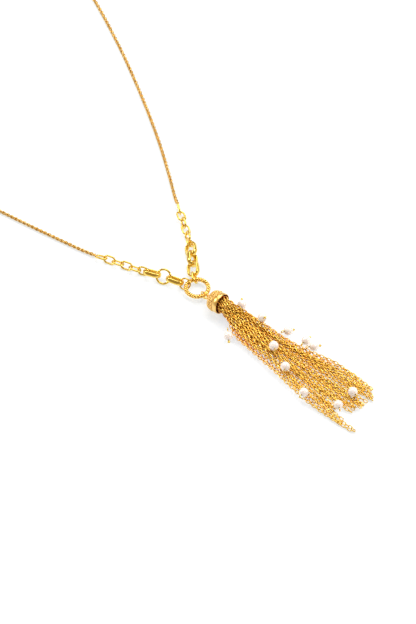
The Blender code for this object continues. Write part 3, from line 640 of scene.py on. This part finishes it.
def add_piece(name, meshes, slot, *stood_for):
    """Adds some meshes as one piece that rides on the necklace and stands for CAD nodes."""
    shape = bmesh.new()
    for mesh in meshes:
        shape.from_mesh(mesh)
    whole = bpy.data.meshes.new(name)
    shape.to_mesh(whole)
    shape.free()
    whole.materials.append(meshes[0].materials[0])
    piece = bpy.data.objects.new(name, whole)
    bpy.context.scene.collection.objects.link(piece)
    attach(piece, "root")
    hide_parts(*stood_for)
    return piece


def corners(node):
    """The corners of a CAD node's solid, each once."""
    spots = {tuple(round(number, 7) for number in vertex.co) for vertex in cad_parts[node].data.vertices}
    return np.array(sorted(spots))


def lie_of(node):
    """How a CAD link lies: X along its length, Z out of its plane, at its middle."""
    spots = corners(node)
    middle = spots.mean(0)
    ways = np.linalg.svd(spots - middle, full_matrices=False)[2]
    along, across = Vector(ways[0]), Vector(ways[1])
    lie = Matrix((along, across, along.cross(across))).transposed().to_4x4()
    lie.translation = Vector(middle)
    return lie


def heading(degrees):
    """The level direction at that angle from +X, seen from above."""
    return Vector((cos(radians(degrees)), sin(radians(degrees)), 0))


def facing(middle, along):
    """The placement at a middle of a piece whose X axis points along a direction."""
    across = UP.cross(along).normalized()
    place = Matrix((along, across, along.cross(across))).transposed().to_4x4()
    place.translation = middle
    return place


def link_mesh(tree, link, finish):
    """A link of that size, flat with its length along X."""
    return grown(tree, finish, Length=link.length * MM, Width=link.width * MM, Thick=link.thick * MM,
                 Band=link.band * MM, Roundness=link.round)


def add_links(finish):
    """Adds every single link and jump ring, where its solid lies."""
    tree = link_tree()
    for node, link in LINKS.items():
        mesh = placed(link_mesh(tree, link, finish), lie_of(node))
        add_piece(f"fine_{node}", [rested(mesh, node)], "polished_gold", node)


def smooth_route(chosen):
    """A level curve through the chosen points, as a fine row of points."""
    chosen = [Vector((x * MM, y * MM, 0)) for x, y in chosen]
    ends = [2 * chosen[0] - chosen[1]] + chosen + [2 * chosen[-1] - chosen[-2]]
    points = []
    for before, here, after, beyond in zip(ends, ends[1:], ends[2:], ends[3:]):
        for step in range(ROUTE_STEPS):
            share = step / ROUTE_STEPS
            points.append(0.5 * (2 * here + (after - before) * share
                                 + (2 * before - 5 * here + 4 * after - beyond) * share ** 2
                                 + (3 * here - before - 3 * after + beyond) * share ** 3))
    return points + [chosen[-1]]


def add_rope(finish, ring_middle):
    """Adds both halves of the rope chain, each along the stretch of the route that its tube covers."""
    route = [point + Vector((ring_middle.x, ring_middle.y, 0)) for point in smooth_route(CHAIN_ROUTE)]
    distances = [0, *accumulate((after - here).length for here, after in zip(route, route[1:]))]
    tree = rope_tree()
    for side, half in ROPE_HALVES.items():
        stretch = []
        for step in range(ROPE_STEPS + 1):
            distance = (half.near + (half.far - half.near) * step / ROPE_STEPS) * MM
            x, y = (np.interp(distance, distances, [spot[axis] for spot in route]) for axis in range(2))
            point = Vector((x, y, ROPE_DIAMETER / 2))
            for end, height in ((half.near, half.near_height), (half.far, half.far_height)):
                nearness = max(1 - abs(distance - end * MM) / ROPE_RISE, 0)
                point.z += (height * MM - ROPE_DIAMETER / 2) * nearness ** 2
            stretch.append(point)
        mesh = grown(tree, finish, routes_mesh([stretch]), Diameter=ROPE_DIAMETER, Strand=ROPE_STRAND,
                     Wire=ROPE_WIRE, Spacing=ROPE_SPACING, Pitch=ROPE_PITCH)
        node = f"rope_chain_{side}"
        add_piece(f"twisted_{node}", [mesh], "rope_gold", node)


def add_twisted_ring(finish, ring_middle):
    """Adds the ring of twisted wires."""
    mesh = grown(twisted_ring_tree(), finish, Outside=RING_OUTSIDE, Thick=RING_THICK, Turns=float(RING_TURNS))
    add_piece("wire_ring", [placed(mesh, Matrix.Translation(ring_middle))], "polished_gold", "twisted_ring")


def marked(mesh, shares):
    """The mesh with its outside attribute set, which keeps gold's painted shade off where it is high: a share
    for each corner, or one for all.
    """
    outside = mesh.attributes.new("outside", "FLOAT", "POINT")
    outside.data.foreach_set("value", shares if isinstance(shares, list) else [shares] * len(mesh.vertices))
    return mesh


def cap_facing():
    """The way that the cap's mouth faces."""
    return heading(CAP_HEADING) * cos(radians(CAP_RISE)) + UP * sin(radians(CAP_RISE))


def cap_mouth():
    """The middle of the cap's mouth, from the rim of its solid."""
    spots = corners("tassel_cap")
    forwards = spots @ np.array(cap_facing())
    return Vector(spots[forwards > forwards.max() - CAP_RIM].mean(0))


def cap_radius(back):
    """The radius of the cap's outside at a share of its length back from the mouth."""
    rows = sorted(CAP_OUTSIDE)
    return float(np.interp(back, [row.back for row in rows], [row.radius for row in rows])) * CAP_RADIUS


def grain_mesh(tree, grains, finish):
    """Grains round the cap in rows, so that those of neighbouring rows stand in ribs."""
    points = []
    for back in grains.rows:
        radius = cap_radius(back) - grains.sunk
        for grain in range(grains.round):
            turn = 2 * pi * grain / grains.round
            points.append((-back * CAP_LENGTH, radius * cos(turn), radius * sin(turn)))
    start = bpy.data.meshes.new("grain points")
    start.from_pydata(points, [], [])
    return grown(tree, finish, start, Grain=grains.size)


def add_cap(finish, mouth):
    """Adds the cap: a hollow turned bell with rows of fine grains, and its eye, with painted shade inside its
    hollow and between its grains.
    """
    rings = []
    shares = []
    for row in CAP_OUTSIDE + CAP_INSIDE:
        turns = [2 * pi * side / CAP_SIDES for side in range(CAP_SIDES)]
        radius = max(row.radius * CAP_RADIUS, CAP_LEAST)
        rings.append([(-row.back * CAP_LENGTH, radius * cos(turn), radius * sin(turn)) for turn in turns])
        # painted shade: half between the grains, full on the inside rows, none on the rest of the outside
        grained = row in CAP_OUTSIDE and CAP_GRAINED[0] < row.back < CAP_GRAINED[1]
        share = UNSHADED_SHARE_BETWEEN_GRAINS if grained else float(row in CAP_OUTSIDE)
        shares += [share] * CAP_SIDES
    tree = grain_tree()
    eye_back = CAP_LENGTH + CAP_EYE.length * MM / 2 - CAP_EYE_SINK
    eye = placed(link_mesh(link_tree(), CAP_EYE, finish), Matrix.Translation((-eye_back, 0, 0)))
    parts = [
        marked(skin(rings, finish), shares),
        marked(grain_mesh(tree, GRAINS, finish), 1.0),
        marked(grain_mesh(tree, BEADS, finish), 1.0),
        marked(eye, 1.0),
    ]
    place = facing(mouth, cap_facing())
    add_piece("grained_cap", [placed(part, place) for part in parts], "polished_gold", "tassel_cap")


def smooth_step(share):
    """A share eased at both ends."""
    share = min(max(share, 0), 1)
    return share * share * (3 - 2 * share)


def table_value(rows, along, column):
    """A column of a table at a share along."""
    return float(np.interp(along, [row.along for row in rows], [getattr(row, column) for row in rows]))


def ranked(spots):
    """The numbers of some spots in rows of a few, across by their first value and up by their second."""
    order = sorted(range(len(spots)), key=lambda number: spots[number][0])
    rows = [order[first:first + MOUTH_ROW] for first in range(0, len(order), MOUTH_ROW)]
    return [number for row in rows for number in sorted(row, key=lambda number: spots[number][1])]


def mouth_spots(strands):
    """A spot in the cap's mouth for each chain, all spread evenly over it, in the order of their locks."""
    count = len(strands)
    wanted = [(lock.mouth_side + MOUTH_SPREAD * place.aside, lock.mouth_up + MOUTH_SPREAD * place.above)
              for lock, place in strands]
    even = [(sqrt((number + 0.5) / count), number * GOLDEN_TURN) for number in range(count)]
    even = [(MOUTH_ROOM * reach * cos(turn), MOUTH_ROOM * reach * sin(turn)) for reach, turn in even]
    spots = dict(zip(ranked(wanted), ranked(even)))
    return [even[spots[number]] for number in range(count)]


def strand_points(lock, place, start, reach, waves, mouth, room):
    """The route of one chain: from its spot in the mouth to its place in a lock's section."""
    forwards = heading(TASSEL_HEADING)
    sideways = UP.cross(forwards)
    level = Vector((mouth.x, mouth.y, 0))
    route = []
    for step in range(STRAND_STEPS + 1):
        along = step / STRAND_STEPS
        size = table_value(LOCK_SWELLS, along, "size") * lock.size ** along
        low, high = (table_value(TASSEL_SPREAD, along * lock.reach, edge) for edge in ("low", "high"))
        spread = (low + (high - low) * lock.across) * TASSEL_HALF_WIDTH
        spread += place.aside * lock.apart * (LOCK_WIDTH * size - CHAIN_ROOM) / 2
        side = start[0] + (spread - start[0]) * smooth_step(along / GATHER_SHARE)
        lift = LOCK_LIFT * (1 - smooth_step(along / LIFT_SHARE)) if lock.upper else 0
        rest = LOCK_THICKNESS * size / 2 + lift
        rest += place.above * (LOCK_THICKNESS * size - CHAIN_ROOM) / 2 * (1 - STRAND_SETTLE * along)
        height = rest + (mouth.z + start[1] - rest) * (1 - smooth_step(along / DROP_SHARE))
        for wave in waves:
            swing = wave.size * along
            side += swing * sin(2 * pi * (wave.tempo * along + wave.start))
            height += WAVE_LIFT * swing * sin(2 * pi * (wave.tempo * along + WAVE_SHIFT * wave.start))
        spot = level + forwards * lock.reach * reach * TASSEL_LENGTH * along + sideways * side
        spot.z = height
        route.append(Vector(min(max(here, least), most) for here, least, most in zip(spot, *room)))
    return [route[0] - cap_facing() * (STRAND_DEPTH + STRAND_PITCH * waves[-1].start)] + route


def strand_outsides(lock, place):
    """How far outside each point of that route lies, as shares: chains low in the bundle lie deep. They carry
    painted shade, most near the cap, and full at the route's first point deep inside the cap.
    """
    deep = (0 if lock.upper else LOWER_LOCK_PAINTED_SHADE) + (0 if place.above > 0 else LOW_STRAND_PAINTED_SHADE)
    return [0.0] + [1 - deep * (1 - smooth_step(step / STRAND_STEPS / BUNDLE_SHARE))
                    for step in range(STRAND_STEPS + 1)]


def add_tassel(finish, mouth):
    """Adds the chains of the tassel, as an upper and a lower layer of locks."""
    chance = random.Random(CHANCE_SEED)
    tree = strand_tree()
    low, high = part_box("tassel")
    edge = Vector((1, 1, 0)) * STRAND_EDGE
    room = (low + edge + UP * STRAND_REST, high - edge - UP * STRAND_REST)
    strands = [(lock, place) for lock in LOCKS for place in PLACES[:lock.chains]]
    starts = dict(zip(strands, mouth_spots(strands)))
    for layer, name in ((True, "tassel_chains_upper"), (False, "tassel_chains_lower")):
        routes = []
        outsides = []
        for lock in LOCKS:
            if lock.upper != layer:
                continue
            shared = Wave(LOCK_WANDER, chance.uniform(*LOCK_TEMPO), chance.random())
            for place in PLACES[:lock.chains]:
                reach = 1 - STRAND_FRAY * chance.random() ** 1.5
                waves = [shared, Wave(STRAND_WANDER, chance.uniform(*STRAND_TEMPO), chance.random())]
                routes.append(strand_points(lock, place, starts[lock, place], reach, waves, mouth, room))
                # painted shade for chains low in the bundle and inside the cap
                outsides += strand_outsides(lock, place)
        mesh = grown(tree, finish, routes_mesh(routes, outsides), Length=STRAND_LINK.length * MM,
                     Width=STRAND_LINK.width * MM, Thick=STRAND_LINK.thick * MM, Pitch=STRAND_PITCH,
                     Lean=radians(STRAND_LEAN), Twist=radians(STRAND_TWIST))
        add_piece(name, [mesh], "tassel_gold", "tassel")


def pearl_mesh(finish, number):
    """A pearl drilled along X, slightly out of round."""
    edge = asin(PEARL_BORE / PEARL_RADIUS)
    rings = []
    for step in range(PEARL_STEPS + 1):
        turn = edge + (pi - 2 * edge) * step / PEARL_STEPS
        ring = []
        for side in range(PEARL_SIDES):
            about = 2 * pi * side / PEARL_SIDES
            way = Vector((-cos(turn), sin(turn) * cos(about), sin(turn) * sin(about)))
            swell = 1 - PEARL_UNEVEN * abs(noise.noise(way * 1.3 + Vector((number, 0, 0))))
            ring.append(way * PEARL_RADIUS * swell)
        rings.append(ring)
    inner = [[Vector((point.x, *(Vector((point.y, point.z)).normalized() * PEARL_BORE))) for point in ring]
             for ring in (rings[-1], rings[0])]
    return skin(rings + inner + [rings[0]], finish, capped=False)


def wire_rings(stations):
    """Rings round a wire in the X and Z plane, from stations of (middle, way ahead, radius)."""
    across = Vector((0, 1, 0))
    rings = []
    for middle, ahead, radius in stations:
        above = across.cross(ahead)
        turns = [2 * pi * side / WIRE_SIDES for side in range(WIRE_SIDES)]
        rings.append([middle + (across * cos(turn) + above * sin(turn)) * radius for turn in turns])
    return rings


def pin_mesh(finish):
    """A pin along X: a ball, a straight wire and an open loop."""
    ball = PIN_BALL / 2
    wire = PIN_WIRE / 2
    to_ball = PEARL_RADIUS + PIN_CLEAR + (ball ** 2 - wire ** 2) ** 0.5
    to_loop = PEARL_RADIUS + PIN_CLEAR + PIN_LOOP / 2
    back = Vector((-1, 0, 0))
    stations = [(Vector((to_ball + ball * cos(radians(turn)), 0, 0)), back, ball * sin(radians(turn)))
                for turn in PIN_BALL_TURNS]
    stations += [(Vector((x, 0, 0)), back, wire) for x in (to_ball - ball, 0, -PEARL_RADIUS - PIN_CLEAR / 2)]
    bend = (PIN_LOOP - PIN_WIRE) / 2
    for step in range(PIN_LOOP_STEPS + 1):
        turn = radians(PIN_LOOP_OPENING / 2 + (360 - PIN_LOOP_OPENING) * step / PIN_LOOP_STEPS)
        spot = Vector((-to_loop + bend * cos(turn), 0, bend * sin(turn)))
        stations.append((spot, Vector((-sin(turn), 0, cos(turn))), wire))
    return skin(wire_rings(stations), finish)


def add_pearls(pearl_and_glow, metal):
    """Adds the pearls and their pins, each along the way that its solid pin points."""
    for number in range(1, PEARLS + 1):
        pin = corners(f"head_pin_{number}")
        middle = Vector(corners(f"pearl_{number}").mean(0))
        ways = np.linalg.svd(pin - pin.mean(0), full_matrices=False)[2]
        along = Vector(ways[0])
        if along.dot(Vector(pin.mean(0)) - middle) > 0:
            along.negate()
        place = facing(middle, along)
        add_piece(f"round_pearl_{number}", [placed(pearl_mesh(pearl_and_glow, number), place)], "pearl",
                  f"pearl_{number}")
        add_piece(f"ball_pin_{number}", [placed(pin_mesh(metal), place)], "polished_gold",
                  f"head_pin_{number}")


def add_floor():
    """Adds the pale floor that the necklace lies on."""
    floor = bmesh.new()
    bmesh.ops.create_grid(floor, x_segments=1, y_segments=1, size=FLOOR_SIZE)
    mesh = from_shape(floor, paper_floor(), "floor")
    plane = bpy.data.objects.new("floor", mesh)
    bpy.context.scene.collection.objects.link(plane)


def add_light(name, place, target, size, power):
    """Adds a soft square light that faces a target."""
    lamp = bpy.data.lights.new(name, "AREA")
    lamp.size = size
    lamp.energy = power
    light = bpy.data.objects.new(name, lamp)
    light.location = place
    light.rotation_euler = (target - Vector(place)).to_track_quat("-Z", "Y").to_euler()
    light.visible_camera = False
    bpy.context.scene.collection.objects.link(light)


def light_studio(target):
    """Soft light from all round, brightest from above and behind."""
    world = bpy.data.worlds.new("studio")
    world.use_nodes = True
    sky = world.node_tree.nodes["Background"].inputs
    sky["Color"].default_value = (1, 0.77, 0.55, 1)
    sky["Strength"].default_value = 0.36
    bpy.context.scene.world = world
    add_light("key", (0.1, 0.45, 0.95), target, 1.0, 8.5)
    add_light("left fill", (-0.8, 0.1, 0.6), target, 0.3, 3.5)
    add_light("right fill", (0.8, -0.1, 0.6), target, 0.3, 3.5)


def aim_camera(target):
    """Looks at the necklace from the photograph's angle, from far off with a long lens."""
    lens = bpy.data.cameras.new("camera")
    lens.sensor_width = FILM_WIDTH
    lens.lens = FILM_WIDTH * VIEW_DISTANCE / VIEW_WIDTH
    lens.clip_end = 5 * FLOOR_SIZE
    camera = bpy.data.objects.new("camera", lens)
    back = Vector((0, -cos(radians(VIEW_ANGLE)), sin(radians(VIEW_ANGLE))))
    camera.location = target + back * VIEW_DISTANCE
    camera.rotation_euler = (-back).to_track_quat("-Z", "Y").to_euler()
    bpy.context.scene.collection.objects.link(camera)
    bpy.context.scene.camera = camera


def main():
    low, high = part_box("twisted_ring")
    ring_middle = (low + high) / 2
    mouth = cap_mouth()
    polished = gold("polished gold", (0.93, 0.69, 0.16), (0.90, 0.61, 0.09), (0.98, 0.81, 0.40), 0.22, 0.7)
    # The last colour of satin, twisted, rope and tassel gold is painted shade for hollows and gaps between
    # parts
    satin = gold("satin gold", (0.96, 0.66, 0.20), (0.92, 0.58, 0.14), (1.0, 0.80, 0.42), 0.36, 1.0,
                 (0.66, 0.22, 0.02))
    twisted = gold("twisted gold", (0.88, 0.67, 0.19), (0.86, 0.59, 0.12), (0.95, 0.80, 0.44), 0.18, 0.7,
                   (0.86, 0.33, 0.03))
    rope = gold("rope gold", (0.96, 0.75, 0.33), (0.91, 0.63, 0.20), (1.0, 0.84, 0.50), 0.26, 0.4,
                (0.80, 0.44, 0.06))
    chains = gold("tassel gold", (0.93, 0.65, 0.13), (0.92, 0.56, 0.07), (0.97, 0.81, 0.37), 0.24, 0.6,
                  (0.90, 0.33, 0.010))
    add_links(polished)
    add_rope(rope, ring_middle)
    add_twisted_ring(twisted, ring_middle)
    add_cap(satin, mouth)
    add_tassel(chains, mouth)
    add_pearls(glowing_pearl(), polished)
    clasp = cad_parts["clasp"]
    clasp.data.materials.clear()
    clasp.data.materials.append(polished)
    add_floor()
    target = ring_middle + VIEW_ASIDE
    light_studio(target)
    aim_camera(target)
    bpy.context.scene.view_settings.view_transform = "Standard"


main()
